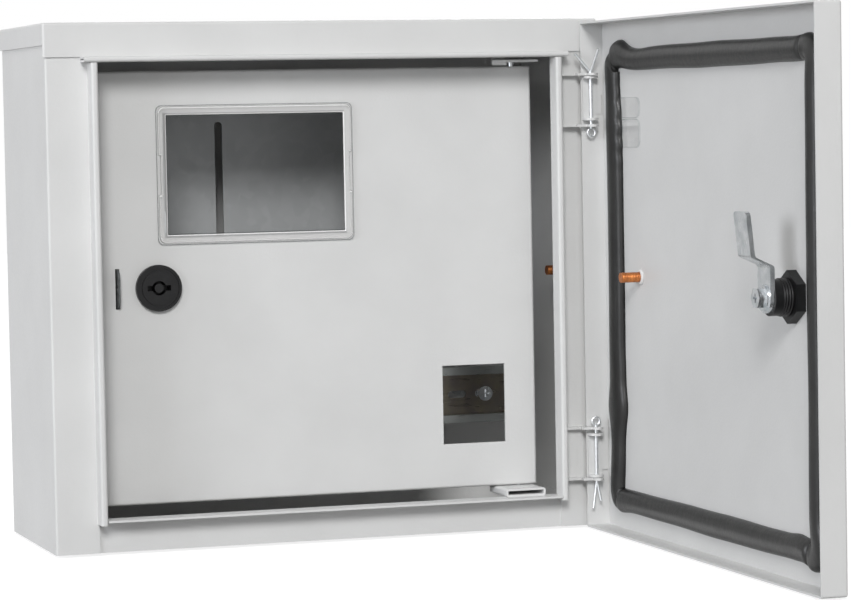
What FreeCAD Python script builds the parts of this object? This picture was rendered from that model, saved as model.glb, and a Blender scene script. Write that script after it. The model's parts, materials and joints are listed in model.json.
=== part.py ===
import FreeCAD, Part
import os
import re

# Wall-hung electric meter box in folded and welded sheet steel, shown with its
# outer door open and its inner panel shut. +X is right, +Y is into the wall, +Z is up.
# The origin is the middle of the four wall-fixing holes, on the back face.

doc = FreeCAD.newDocument("meter_box")
sheet = doc.addObject("Spreadsheet::Sheet", "sizes")

# Driving dimensions: name, millimetres or degrees, meaning
sizes = [
    ("body_width", 340.0, "outside width of the folded body"),
    ("body_height", 310.0, "outside height, cap and bottom included"),
    ("body_depth", 130.0, "back face to the face of the front flange"),
    ("skin", 1.2, "thickness of the sheet steel"),
    ("bend", 1.5, "outside radius of a fold"),
    ("side_flange", 25.0, "front flange beside the opening"),
    ("lip_forward", 11.5, "how far the sealing lip stands in front of the flange"),
    ("lip_wide", 4.0, "front face of a side lip"),
    ("lip_below", 1.6, "end of a side lip below the bottom lip"),
    ("top_flange", 20.0, "front flange of the cap"),
    ("top_lip_wide", 3.2, "front face of the top lip"),
    ("top_lip_over", 4.0, "top lip past the outside of each side lip"),
    ("bottom_flange", 20.0, "front flange of the bottom, to the top of its lip"),
    ("cap_skirt", 13.0, "side skirt of the cap over the body"),
    ("pan_skirt", 14.0, "upstand of the bottom inside the body"),
    ("weld_gap", 0.3, "gap closed by weld at the ends of the lips"),
    ("fixing_in", 20.0, "wall-fixing holes in from the sides"),
    ("fixing_edge", 33.5, "wall-fixing holes in from the top and bottom"),
    ("fixing_hole_r", 4.5, "radius of a wall-fixing hole"),
    ("entry_r", 13.5, "radius of a cable entry hole"),
    ("entry_pitch", 80.0, "cable entries, centre to centre"),
    ("entry_inset", 65.0, "cable entries behind the front flange"),
    ("grommet_r", 16.5, "rim radius of a cable grommet"),
    ("grommet_rim", 2.0, "thickness of a grommet rim"),
    ("grommet_rise", 9.0, "height of the cone inside the box"),
    ("grommet_tip_r", 4.5, "outside radius of the cone's closed tip"),
    ("grommet_wall", 1.6, "rubber thickness of the cone"),
    ("door_open", 90.0, "how far the outer door stands open"),
    ("door_edge", 4.8, "hinge edge of the door past the hinge axis"),
    ("door_top_gap", 2.5, "top of the door below the top of the cap"),
    ("door_bottom_over", 0.5, "bottom of the door below the bottom of the body"),
    ("door_depth", 15.4, "depth of the door tray"),
    ("door_gap", 3.6, "door rim to body flange when shut"),
    ("hinge_in", 5.8, "hinge axis in from the body's side"),
    ("hinge_out", 8.5, "hinge axis in front of the flange"),
    ("upper_hinge_down", 49.75, "middle of the upper hinge below the top"),
    ("lower_hinge_rise", 44.75, "middle of the lower hinge above the bottom"),
    ("leaf", 1.5, "thickness of the hinge brackets"),
    ("leaf_round", 3.2, "radius of a bracket tab round the pin"),
    ("tab_forward", 3.2, "body tab carried on in front of the pin"),
    ("ear_round", 4.4, "radius of a door bracket tab round the pin"),
    ("score_wide", 0.8, "width of the scored lines beside a door bracket"),
    ("score_deep", 0.8, "depth of the scored lines"),
    ("score_in", 0.7, "scored lines from the inside of the door panel"),
    ("score_long", 3.6, "scored line across the hinge flange"),
    ("score_high", 12.0, "scored line along the hinge flange"),
    ("upper_score_drop", 9.4, "upper scored lines below the middle of the hinge"),
    ("lower_score_drop", 11.4, "lower scored line below the middle of the hinge"),
    ("body_tab_pitch", 31.1, "tabs of a body bracket, middle to middle"),
    ("door_tab_pitch", 25.4, "tabs of a door bracket, middle to middle"),
    ("seat_gap", 0.3, "gap between tabs that bear on each other"),
    ("swing_gap", 0.8, "least gap to what swings past"),
    ("pin_r", 1.1, "radius of a split hinge pin"),
    ("pin_play", 0.08, "radial clearance of a hinge pin"),
    ("pin_leg_r", 0.75, "radius of one bent leg of a split pin"),
    ("pin_eye_r", 2.4, "radius of the eye, to the middle of the wire"),
    ("upper_leg_side", 10.0, "upper pin, first leg bent to the left"),
    ("upper_leg_rise", 11.5, "upper pin, first leg above the tab"),
    ("upper_leg_right", 2.4, "upper pin, second leg bent to the right"),
    ("upper_leg_forward", 7.4, "upper pin, second leg bent forward"),
    ("upper_leg_high", 14.0, "upper pin, second leg above the tab"),
    ("lower_leg_side", 2.4, "lower pin, first leg bent to the left"),
    ("lower_leg_drop", 17.0, "lower pin, first leg below the tab"),
    ("lower_leg_right", 2.2, "lower pin, second leg bent to the right"),
    ("lower_leg_forward", 1.2, "lower pin, second leg bent forward"),
    ("lower_leg_short", 12.5, "lower pin, second leg below the tab"),
    ("gasket_hinge", 14.0, "gasket in from the hinge edge of the door"),
    ("gasket_free", 23.8, "gasket in from the free edge of the door"),
    ("gasket_top", 17.0, "gasket below the top of the door"),
    ("gasket_bottom", 12.0, "gasket above the bottom of the door"),
    ("gasket_wide", 13.5, "width of the gasket strip"),
    ("gasket_round", 6.0, "corner radius of the gasket"),
    ("seal_gap", 0.3, "gasket to lip with the door just shut"),
    ("stud_r", 3.0, "radius of an earth stud"),
    ("stud_long", 13.0, "length of an earth stud"),
    ("stud_foot_r", 4.2, "radius of a stud's welded foot"),
    ("stud_foot", 1.0, "thickness of a stud's welded foot"),
    ("door_stud_in", 59.0, "door stud from the hinge edge"),
    ("door_stud_up", -0.7, "height of the door stud"),
    ("body_stud_inset", 52.0, "body stud behind the front flange"),
    ("body_stud_up", -0.3, "height of the body stud"),
    ("pad_thick", 1.4, "thickness of a clear pad"),
    ("pad_glue", 0.1, "glue line under a clear pad"),
    ("pad_long", 34.0, "length of a clear pad, away from the gasket"),
    ("pad_down", 46.3, "top of the upper clear pad below the top of the door"),
    ("pad_upper", 12.4, "height of the upper clear pad"),
    ("pad_lower", 17.0, "height of the lower clear pad"),
    ("pad_space", 0.6, "clear pads from each other and from the gasket"),
    ("pad_round", 5.0, "corner radius of a clear pad"),
    ("door_lock_in", 58.0, "door lock from the free edge"),
    ("door_lock_up", -2.4, "height of the door lock"),
    ("door_lock_reach", 17.2, "door skin to the cam of its lock"),
    ("door_cam_offset", 11.0, "set in the door cam"),
    ("door_cam_straight", 17.0, "door cam before its set"),
    ("door_cam_slope", 5.0, "height of the set"),
    ("door_cam_lean", 2.6, "lean of the door cam's tip"),
    ("cam_bend", 2.4, "radius of a bend in a cam"),
    ("cam_corner", 2.6, "corner radius of a cam's tip"),
    ("door_cam_long", 46.0, "reach of the door cam"),
    ("cam_wide", 16.6, "width of a cam"),
    ("cam_thick", 2.6, "thickness of a cam"),
    ("panel_lock_in", 37.1, "panel lock from the left edge of the panel"),
    ("panel_lock_up", -1.5, "height of the panel lock"),
    ("panel_lock_reach", 10.6, "panel skin to the cam of its lock"),
    ("panel_cam_long", 46.0, "reach of the panel cam"),
    ("lock_head_r", 13.8, "radius of a lock head"),
    ("lock_head", 3.0, "height of a lock head"),
    ("lock_face", 2.2, "thickness of the lock face over the insert"),
    ("lock_barrel_r", 9.8, "radius of a lock barrel"),
    ("lock_hole_play", 0.2, "radial clearance of a lock in its hole"),
    ("lock_bore_r", 8.1, "radius of the bore for the insert"),
    ("lock_nut_flats", 24.8, "lock nut across flats"),
    ("lock_nut", 5.5, "thickness of a lock nut"),
    ("insert_play", 0.06, "radial clearance of the insert"),
    ("insert_gap", 0.3, "insert behind the lock face"),
    ("ring_in_r", 10.2, "inside radius of the ring groove in a lock head"),
    ("ring_out_r", 12.2, "outside radius of the ring groove in a lock head"),
    ("ring_deep", 0.8, "depth of the ring groove"),
    ("key_r", 4.3, "radius of the key hole"),
    ("key_pin_r", 2.7, "radius of the pin in the key hole"),
    ("key_bit", 7.1, "reach of the key bits"),
    ("key_bit_high", 3.2, "height of the key bits"),
    ("key_deep", 6.0, "depth of the key pocket"),
    ("square", 8.0, "square on the insert that drives the cam"),
    ("square_play", 0.1, "cam square clearance on each side"),
    ("cam_screw_r", 3.0, "radius of a cam screw"),
    ("cam_screw_long", 8.0, "cam screw under its head"),
    ("cam_screw_flats", 10.0, "cam screw head across flats"),
    ("cam_screw_head", 4.0, "height of a cam screw head"),
    ("washer_r", 7.0, "radius of a cam washer"),
    ("washer", 1.2, "thickness of a cam washer"),
    ("panel_inset", 17.0, "face of the inner panel behind the front flange"),
    ("panel_gap_left", 2.3, "inner panel to the left lip"),
    ("panel_gap_right", 6.5, "inner panel to the right lip"),
    ("panel_gap_top", 5.2, "inner panel below the top lip"),
    ("panel_gap_bottom", 5.2, "inner panel above the bottom lip"),
    ("panel_return", 8.0, "depth of the inner panel's returns"),
    ("window_in", 98.1, "middle of the window from the left edge of the panel"),
    ("window_down", 61.55, "middle of the window below the top of the panel"),
    ("window_wide", 121.1, "outside width of the window rim"),
    ("window_high", 82.7, "outside height of the window rim"),
    ("window_rim", 5.9, "width of the window rim"),
    ("window_proud", 2.4, "bead of the window in front of the panel"),
    ("window_flange", 1.3, "flange and pane of the window in front of the panel"),
    ("window_bead_in", 1.3, "bead in from the edge of the window"),
    ("window_notch", 1.3, "notch in the outside of the bead at a clip"),
    ("window_seat", 0.1, "window flange off the panel sheet"),
    ("window_round", 3.6, "corner radius of the window"),
    ("window_skirt", 3.5, "skirt behind the panel face"),
    ("window_wall", 1.4, "wall of the window skirt"),
    ("window_play", 0.2, "skirt to cut-out on each side"),
    ("clip_high", 24.0, "height of a window clip"),
    ("clip_bite", 1.2, "clip behind the panel sheet"),
    ("breaker_in", 40.0, "middle of the breaker cut-out from the right edge of the panel"),
    ("breaker_rise", 51.0, "middle of the breaker cut-out above the bottom of the panel"),
    ("breaker_wide", 40.0, "width of the breaker cut-out"),
    ("breaker_high", 48.0, "height of the breaker cut-out"),
    ("slot_in", 12.6, "sealing slot from the left edge of the panel"),
    ("slot_wide", 2.6, "width of the sealing slot"),
    ("slot_high", 24.0, "height of the sealing slot"),
    ("pivot_inset", 11.2, "panel pivot in from the panel's right edge"),
    ("pivot_r", 2.0, "radius of a panel pivot pin"),
    ("pivot_head_r", 2.7, "radius of a pivot pin's head"),
    ("pivot_head", 1.5, "thickness of a pivot pin's head"),
    ("pivot_long", 3.6, "pivot pin outside the panel"),
    ("pivot_play", 0.08, "radial clearance of a pivot pin"),
    ("upper_plate_lift", 2.4, "upper pivot bracket above the panel"),
    ("upper_plate_side", 10.0, "upper bracket each side of the pivot"),
    ("upper_tab_wide", 9.0, "turned-down tab of the upper bracket"),
    ("upper_tab_drop", 1.8, "turned-down tab below the upper plate"),
    ("loop_left", 15.6, "lower loop to the left of the pivot"),
    ("loop_right", 9.7, "lower loop to the right of the pivot"),
    ("loop_proud", 2.5, "front of the lower loop in front of the flange"),
    ("bracket_behind", 7.0, "pivot brackets behind the pivot axis"),
    ("panel_lift", 0.4, "inner panel above the lower loop"),
    ("strike_gap", 0.8, "panel return to the strike plate"),
    ("strike_high", 60.0, "height of the latch bracket"),
    ("strike_leg", 22.0, "latch bracket along the side wall"),
    ("strike_past", 2.0, "strike plate past the sealing lug"),
    ("lug_high", 23.0, "height of the sealing lug"),
    ("lug_proud", 5.0, "sealing lug in front of the panel"),
    ("lug_round", 4.8, "corner radius of the sealing lug"),
    ("lug_hole_r", 1.5, "radius of the seal wire hole"),
    ("plate_down", 35.0, "top of the meter plate below the top of the body"),
    ("plate_over_rail", 7.8, "bottom of the meter plate above the middle of the rail"),
    ("plate_wide", 200.0, "width of the meter plate"),
    ("plate_thick", 1.5, "thickness of the meter plate"),
    ("plate_front", 26.0, "meter plate's face in front of the back face"),
    ("hang_wide", 4.8, "width of the meter's slots"),
    ("hang_down", 59.0, "top of the hanging slot below the top of the body"),
    ("hang_rise", 65.0, "bottom of the hanging slot above the bottom of the plate"),
    ("foot_rise", 25.0, "meter foot slots above the bottom of the plate"),
    ("foot_pitch", 100.0, "foot slots, centre to centre"),
    ("foot_long", 30.0, "length of a foot slot"),
    ("post_r", 5.0, "radius of a standoff post"),
    ("post_in", 12.0, "standoff posts in from the meter plate's edges"),
    ("screw_r", 2.1, "radius of a standoff screw"),
    ("screw_head_r", 4.6, "radius of a pan head"),
    ("screw_head", 2.8, "height of a pan head"),
    ("screw_long", 8.0, "screw in its post"),
    ("cross_long", 5.0, "length of the cross recess"),
    ("cross_wide", 1.1, "width of the cross recess"),
    ("cross_deep", 1.6, "depth of the cross recess"),
    ("rail_in", 75.5, "middle of the rail in from the right side"),
    ("rail_rise", 77.2, "middle of the rail above the bottom"),
    ("rail_inset", 70.0, "rail's front behind the front flange"),
    ("rail_length", 90.0, "length of the rail"),
    ("rail_wide", 35.0, "width of the rail over its flanges"),
    ("rail_hat", 27.0, "width of the rail over its web"),
    ("rail_high", 7.5, "depth of the rail"),
    ("rail_thick", 1.0, "thickness of the rail"),
    ("rail_slot", 12.0, "length of a rail slot"),
    ("rail_slot_wide", 4.4, "width of a rail slot"),
    ("rail_pitch", 18.0, "rail slots, centre to centre"),
]
for row, (alias, value, meaning) in enumerate(sizes, start=1):
    sheet.set(f"A{row}", meaning)
    sheet.set(f"B{row}", str(value))
    sheet.setAlias(f"B{row}", alias)
doc.recompute()

aliases = {alias for alias, value, meaning in sizes}
value_of = {alias: value for alias, value, meaning in sizes}
nodes = {}

# Places that follow from the driving dimensions
derived = {
    "fixing_across": "body_width - 2 * fixing_in",
    "fixing_up": "body_height - 2 * fixing_edge",
    "entry_back": "body_depth - entry_inset",
    "hinge_upper": "body_height / 2 - upper_hinge_down",
    "hinge_lower": "body_height / 2 - lower_hinge_rise",
    "body_stud_back": "body_depth - body_stud_inset",
    "pad_top": "body_height / 2 - door_top_gap - pad_down",
    "panel_back": "body_depth - panel_inset",
    "panel_left": "-body_width / 2 + side_flange + lip_wide + panel_gap_left",
    "panel_right": "body_width / 2 - side_flange - lip_wide - panel_gap_right",
    "panel_top": "body_height / 2 - top_flange - top_lip_wide - panel_gap_top",
    "panel_bottom": "-body_height / 2 + bottom_flange + panel_gap_bottom",
    "panel_lock_x": "panel_left + panel_lock_in",
    "slot_x": "panel_left + slot_in",
    "window_x": "panel_left + window_in",
    "window_z": "panel_top - window_down",
    "breaker_x": "panel_right - breaker_in",
    "breaker_z": "panel_bottom + breaker_rise",
    "upper_plate_up": "panel_top + upper_plate_lift",
    "loop_front": "body_depth + loop_proud",
    "rail_x": "body_width / 2 - rail_in",
    "rail_z": "-body_height / 2 + rail_rise",
    "rail_front": "body_depth - rail_inset",
    "plate_x": "window_x",
    "plate_low": "rail_z + plate_over_rail",
    "plate_top": "body_height / 2 - plate_down",
    "hang_top": "body_height / 2 - hang_down",
    "hang_bottom": "plate_low + hang_rise",
    "foot_z": "plate_low + foot_rise",
}


def cells(text):
    # A derived place becomes its formula, and each driving dimension a reference to its cell
    def refer(match):
        word = match.group(0)
        if word in derived:
            return f"({cells(derived[word])})"
        return f"sizes.{word}" if word in aliases else word

    return re.sub(r"[a-z_][a-z_0-9]*", refer, str(text))


def bind(obj, prop, text):
    obj.setExpression(prop, cells(text))


def place(obj, at):
    for axis, text in zip("xyz", at):
        bind(obj, f"Placement.Base.{axis}", text)
    return obj


def box(name, low, high):
    obj = doc.addObject("Part::Box", name)
    for prop, first, last in zip(("Length", "Width", "Height"), low, high):
        bind(obj, prop, f"({last}) - ({first})")
    return place(obj, low)


turns = {
    "x": FreeCAD.Rotation(FreeCAD.Vector(0, 1, 0), 90),
    "y": FreeCAD.Rotation(FreeCAD.Vector(1, 0, 0), -90),
    "z": FreeCAD.Rotation(),
}


def rod(name, radius, at, length, along):
    obj = doc.addObject("Part::Cylinder", name)
    obj.Placement = FreeCAD.Placement(FreeCAD.Vector(), turns[along])
    bind(obj, "Radius", radius)
    bind(obj, "Height", length)
    return place(obj, at)


def hexagon(name, flats, at, length, along, spin=0):
    obj = doc.addObject("Part::Prism", name)
    obj.Polygon = 6
    own = FreeCAD.Rotation(FreeCAD.Vector(0, 0, 1), spin)
    obj.Placement = FreeCAD.Placement(FreeCAD.Vector(), turns[along].multiply(own))
    bind(obj, "Circumradius", f"({flats}) / 2 / cos(30)")
    bind(obj, "Height", length)
    return place(obj, at)


def fuse(name, pieces):
    obj = doc.addObject("Part::MultiFuse", name)
    obj.Shapes = pieces
    obj.Refine = True
    return obj


def cut(name, base, tools):
    obj = doc.addObject("Part::Cut", name)
    obj.Base = base
    obj.Tool = tools[0] if len(tools) == 1 else fuse(f"{name}_tools", tools)
    obj.Refine = True
    return obj


def group(name, pieces):
    obj = doc.addObject("Part::Compound", name)
    obj.Links = pieces
    return obj


def fillet(name, base, radius, picks):
    # Rounds every straight edge that the pick accepts by its middle, direction and the piece's extent
    doc.recompute()
    obj = doc.addObject("Part::Fillet", name)
    obj.Base = base
    extent = base.Shape.BoundBox
    rounded = []
    for number, edge in enumerate(base.Shape.Edges, start=1):
        if edge.Curve.TypeId != "Part::GeomLine":
            continue
        middle = edge.CenterOfMass
        along = edge.tangentAt(edge.FirstParameter)
        if picks(middle, along, extent):
            rounded.append((number, value_of[radius], value_of[radius]))
    obj.Edges = rounded
    return obj


def node(name, obj):
    obj.Label = name
    nodes[name] = obj
    return obj


def near(first, second):
    return abs(first - second) < 0.01


def upright(along):
    return abs(along.z) > 0.99


# Places that several pieces share
right = "body_width / 2"
left = "-body_width / 2"
top = "body_height / 2"
bottom = "-body_height / 2"
front = "-body_depth"
lip_out = "(body_width / 2 - side_flange)"
lip_in = "(body_width / 2 - side_flange - lip_wide)"
lip_nose = "(-body_depth - lip_forward)"
lip_low = "(-body_height / 2 + bottom_flange - skin - lip_below)"
lip_high = "(body_height / 2 - top_flange - top_lip_wide - weld_gap)"
pin_x = "(body_width / 2 - hinge_in)"
pin_y = "(-body_depth - hinge_out)"

# Door pieces are laid out shut, round the hinge axis, and then swung open
door_hinge_edge = "door_edge"
door_free_edge = "(hinge_in - body_width)"
door_rim = "(hinge_out - door_gap)"
door_face = "(hinge_out - door_gap - door_depth)"
door_inside = "(hinge_out - door_gap - door_depth + skin)"
door_top = "(body_height / 2 - door_top_gap)"
door_bottom = "(-body_height / 2 - door_bottom_over)"


def swing(obj, at=("0", "0", "0")):
    # Turns a door piece about the hinge axis, with its own origin at a place on the shut door
    obj.Placement = FreeCAD.Placement(
        FreeCAD.Vector(), FreeCAD.Rotation(FreeCAD.Vector(0, 0, 1), value_of["door_open"])
    )
    bind(obj, "Placement.Rotation.Angle", "door_open")
    across, inward, up = at
    bind(obj, "Placement.Base.x", f"{pin_x} + cos(door_open) * ({across}) - sin(door_open) * ({inward})")
    bind(obj, "Placement.Base.y", f"{pin_y} + sin(door_open) * ({across}) + cos(door_open) * ({inward})")
    bind(obj, "Placement.Base.z", up)
    return obj


def body_shell():
    # One folded strip: back, both sides, side flanges and the hollow sealing lips
    walls = [
        box("back_wall", (left, "-skin", bottom), (right, "0", f"{top} - skin")),
    ]
    for side, sign in (("left", -1), ("right", 1)):
        def span(inner, outer):
            pair = (f"{sign} * ({inner})", f"{sign} * ({outer})")
            return pair if sign > 0 else pair[::-1]

        def slab(name, xs, ys, zs):
            walls.append(box(f"{side}_{name}", (xs[0], ys[0], zs[0]), (xs[1], ys[1], zs[1])))

        full = (bottom, f"{top} - skin")
        lip = (lip_low, lip_high)
        slab("wall", span(f"{right} - skin", right), (front, "0"), full)
        slab("flange", span(f"{lip_out} - skin", right), (front, f"{front} + skin"), full)
        slab("lip_outer", span(f"{lip_out} - skin", lip_out), (lip_nose, f"{front} + skin"), lip)
        slab("lip_front", span(lip_in, lip_out), (lip_nose, f"{lip_nose} + skin"), lip)
        slab("lip_inner", span(lip_in, f"{lip_in} + skin"), (lip_nose, front), lip)
    holes = []
    for across in (-1, 1):
        for up in (-1, 1):
            at = (f"{across} * fixing_across / 2", "-2 * skin", f"{up} * fixing_up / 2")
            holes.append(rod("fixing_hole", "fixing_hole_r", at, "3 * skin", "y"))
    shell = cut("shell_cut", fuse("shell_folds", walls), holes)
    half = value_of["body_width"] / 2
    lip_edge = half - value_of["side_flange"]
    corners = [(half, 0.0), (half, -value_of["body_depth"])]
    nose = -value_of["body_depth"] - value_of["lip_forward"]
    corners += [(lip_edge, nose), (lip_edge - value_of["lip_wide"], nose)]

    def fold(middle, along, extent):
        return upright(along) and any(near(abs(middle.x), x) and near(middle.y, y) for x, y in corners)

    node("body_shell", fillet("shell", shell, "bend", fold))


def top_cap():
    # Folded lid welded over the body, with its own flange and hollow top lip
    wide = f"({right} + skin)"
    face = f"({front} - skin)"
    flange_low = f"({top} - top_flange)"
    lip_under = f"({top} - top_flange - top_lip_wide)"
    reach = f"({lip_out} + top_lip_over)"
    folds = [
        box("cap_top", (f"-{wide}", face, f"{top} - skin"), (wide, "0", top)),
        box("cap_left", (f"-{wide}", face, f"{top} - cap_skirt"), (f"-{right}", "0", top)),
        box("cap_right", (right, face, f"{top} - cap_skirt"), (wide, "0", top)),
        box("cap_flange", (f"-{wide}", face, flange_low), (wide, front, top)),
        box("cap_lip_upper", (f"-{reach}", lip_nose, f"{flange_low} - skin"), (reach, front, flange_low)),
        box("cap_lip_front", (f"-{reach}", lip_nose, lip_under), (reach, f"{lip_nose} + skin", flange_low)),
        box("cap_lip_lower", (f"-{reach}", lip_nose, lip_under), (reach, front, f"{lip_under} + skin")),
    ]
    cap = fuse("cap_folds", folds)
    roof = value_of["body_height"] / 2
    half = value_of["body_width"] / 2 + value_of["skin"]
    plane = -value_of["body_depth"] - value_of["skin"]
    nose = -value_of["body_depth"] - value_of["lip_forward"]
    flange_edge = roof - value_of["top_flange"]

    def fold(middle, along, extent):
        level = abs(along.x) > 0.99
        roof_edge = near(middle.z, roof) and (near(abs(middle.x), half) or near(middle.y, plane))
        corner = upright(along) and near(abs(middle.x), half) and near(middle.y, plane)
        lip = level and near(middle.y, nose) and middle.z < flange_edge + 0.01
        return roof_edge or corner or lip

    node("top_cap", fillet("cap", cap, "bend", fold))


def bottom_pan():
    # Folded tray welded inside the body, with a plain forward lip and the cable entries
    inner = f"({right} - skin)"
    floor = f"({bottom} + skin)"
    rise = f"({bottom} + pan_skirt)"
    back = "-skin"
    face = f"({front} + skin)"
    lip_top = f"({bottom} + bottom_flange)"
    gap = f"({lip_in} - weld_gap)"
    folds = [
        box("pan_floor", (f"-{inner}", face, bottom), (inner, back, floor)),
        box("pan_left", (f"-{inner}", face, bottom), (f"-{inner} + skin", back, rise)),
        box("pan_right", (f"{inner} - skin", face, bottom), (inner, back, rise)),
        box("pan_back", (f"-{inner}", f"{back} - skin", bottom), (inner, back, rise)),
        box("pan_flange", (f"-{inner}", face, bottom), (inner, f"{face} + skin", lip_top)),
        box("pan_lip", (f"-{gap}", lip_nose, f"{lip_top} - skin"), (gap, f"{face} + skin", lip_top)),
    ]
    holes = []
    for step in (-1, 0, 1):
        at = (f"{step} * entry_pitch", "-entry_back", f"{bottom} - skin")
        holes.append(rod("entry_hole", "entry_r", at, "3 * skin", "z"))
    node("bottom_pan", cut("pan", fuse("pan_folds", folds), holes))


def cable_grommets():
    # Rubber grommets with a closed cone, snapped into the cable entries
    plugs = []
    for step in (-1, 0, 1):
        x = f"{step} * entry_pitch"
        y = "-entry_back"
        under = f"({bottom} - grommet_rim)"
        over = f"({bottom} + skin + grommet_rim)"
        rims = [
            rod("grommet_under", "grommet_r", (x, y, under), "grommet_rim", "z"),
            rod("grommet_neck", "entry_r", (x, y, bottom), "skin", "z"),
            rod("grommet_over", "grommet_r", (x, y, f"{bottom} + skin"), "grommet_rim", "z"),
        ]
        cone = doc.addObject("Part::Cone", "grommet_cone")
        bind(cone, "Radius1", "entry_r - grommet_wall")
        bind(cone, "Radius2", "grommet_tip_r")
        bind(cone, "Height", "grommet_rise")
        place(cone, (x, y, over))
        hollow = doc.addObject("Part::Cone", "grommet_hollow")
        bind(hollow, "Radius1", "entry_r - grommet_wall")
        bind(hollow, "Radius2", "grommet_tip_r - grommet_wall")
        bind(hollow, "Height", "grommet_rise + 2 * grommet_rim + skin - grommet_wall")
        place(hollow, (x, y, under))
        plugs.append(cut("grommet", fuse("grommet_body", rims + [cone]), [hollow]))
    node("cable_grommets", group("grommets", plugs))


def outer_door():
    # Folded tray with the lock hole
    tray = box("door_block", (door_free_edge, door_face, door_bottom), (door_hinge_edge, door_rim, door_top))
    hollow = box(
        "door_hollow",
        (f"{door_free_edge} + skin", door_inside, f"{door_bottom} + skin"),
        (f"{door_hinge_edge} - skin", f"{door_rim} + skin", f"{door_top} - skin"),
    )
    at = (f"{door_free_edge} + door_lock_in", f"{door_face} - skin", "door_lock_up")
    hole = rod("door_lock_hole", "lock_barrel_r + lock_hole_play", at, "3 * skin", "y")
    first = f"({door_inside} + score_in)"
    across = ("door_edge - 2 * skin", "door_edge - skin + score_deep")
    upper = "(hinge_upper - upper_score_drop)"
    lower = "(-hinge_lower - lower_score_drop)"
    scores = [
        box(
            "upper_score_upright",
            (across[0], first, upper),
            (across[1], f"{first} + score_wide", f"{upper} + score_high"),
        )
    ]
    for end, level in (("upper", upper), ("lower", lower)):
        low = (across[0], first, level)
        scores.append(box(f"{end}_score", low, (across[1], f"{first} + score_long", f"{level} + score_wide")))
    sheet_edges = cut("door_tray", tray, [hollow, hole] + scores)

    def fold(middle, along, extent):
        on_side = near(middle.x, extent.XMin) or near(middle.x, extent.XMax)
        on_end = near(middle.z, extent.ZMin) or near(middle.z, extent.ZMax)
        return (near(middle.y, extent.YMin) and (on_side or on_end)) or (on_side and on_end)

    node("outer_door", swing(fillet("door", sheet_edges, "bend", fold)))


def door_gasket():
    # Foam strip glued round the inside of the door, thick enough to meet the lips
    thick = "(door_depth - skin + door_gap - lip_forward - seal_gap)"
    outer_low = (f"{door_free_edge} + gasket_free", door_inside, f"{door_bottom} + gasket_bottom")
    outer_high = (f"{door_hinge_edge} - gasket_hinge", f"{door_inside} + {thick}", f"{door_top} - gasket_top")
    ring = box("gasket_block", outer_low, outer_high)
    inner_low = (f"{outer_low[0]} + gasket_wide", f"{door_inside} - skin", f"{outer_low[2]} + gasket_wide")
    inner_high = (f"{outer_high[0]} - gasket_wide", f"{outer_high[1]} + skin", f"{outer_high[2]} - gasket_wide")
    strip = cut("gasket_ring", ring, [box("gasket_hollow", inner_low, inner_high)])

    def corner(middle, along, extent):
        return abs(along.y) > 0.99 and (near(middle.x, extent.XMin) or near(middle.x, extent.XMax))

    node("door_gasket", swing(fillet("gasket", strip, "gasket_round", corner)))


def hinge_brackets(end, middle, seat):
    # Body bracket: a foot on the flange and two tabs that reach round in front of the door's rim
    pivot = (pin_x, pin_y)
    foot_left = f"({lip_out} + swing_gap)"
    foot_right = f"({pin_x} - hinge_out + door_gap - swing_gap)"
    rear = f"({pin_y} + door_edge - skin - swing_gap)"
    pieces = [
        box(
            f"{end}_foot",
            (foot_left, f"{front} - leaf", f"{middle} - body_tab_pitch / 2 - leaf / 2"),
            (foot_right, front, f"{middle} + body_tab_pitch / 2 + leaf / 2"),
        )
    ]
    bores = []
    for sign in (-1, 1):
        low = f"({middle} + {sign} * body_tab_pitch / 2 - leaf / 2)"
        pieces.append(
            box(f"{end}_tab_root", (foot_left, rear, low), (foot_right, front, f"{low} + leaf"))
        )
        pieces.append(
            box(
                f"{end}_tab_arm",
                (f"{foot_right} - leaf_round", f"{pin_y} - leaf_round / 2", low),
                (pin_x, rear, f"{low} + leaf"),
            )
        )
        pieces.append(
            box(
                f"{end}_tab_nose",
                (f"{pin_x} - leaf_round", f"{pin_y} - tab_forward", low),
                (f"{pin_x} + leaf_round", pin_y, f"{low} + leaf"),
            )
        )
        ahead = (pin_x, f"{pin_y} - tab_forward", low)
        pieces.append(rod(f"{end}_tab_end", "leaf_round", ahead, "leaf", "z"))
        pieces.append(rod(f"{end}_tab_eye", "leaf_round", (*pivot, low), "leaf", "z"))
        bores.append(rod(f"{end}_tab_bore", "pin_r + pin_play", (*pivot, f"{low} - leaf"), "3 * leaf", "z"))
    node(f"{end}_body_bracket", cut(f"{end}_body_leaf", fuse(f"{end}_body_folds", pieces), bores))

    # Door bracket: a web on the inside of the door's hinge flange and two rounded tabs
    web = "(door_edge - skin)"
    high = f"({middle} + {seat} * ((body_tab_pitch - door_tab_pitch) / 2 - leaf - seat_gap))"
    pieces = [
        box(
            f"{end}_web",
            (f"{web} - leaf", "-ear_round", f"{high} - door_tab_pitch / 2 - leaf / 2"),
            (web, "ear_round", f"{high} + door_tab_pitch / 2 + leaf / 2"),
        )
    ]
    bores = []
    for sign in (-1, 1):
        low = f"({high} + {sign} * door_tab_pitch / 2 - leaf / 2)"
        pieces.append(box(f"{end}_ear", ("0", "-ear_round", low), (web, "ear_round", f"{low} + leaf")))
        pieces.append(rod(f"{end}_ear_eye", "ear_round", ("0", "0", low), "leaf", "z"))
        bores.append(rod(f"{end}_ear_bore", "pin_r + pin_play", ("0", "0", f"{low} - leaf"), "3 * leaf", "z"))
    start = f"({high} - door_tab_pitch / 2 - leaf)"
    trim = box(
        f"{end}_ear_trim",
        (web, "-2 * ear_round", start),
        (f"{web} + 2 * leaf", "2 * ear_round", f"{start} + door_tab_pitch + 2 * leaf"),
    )
    leaf = cut(f"{end}_door_leaf", fuse(f"{end}_door_folds", pieces), bores + [trim])
    node(f"{end}_door_bracket", swing(leaf))


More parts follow.
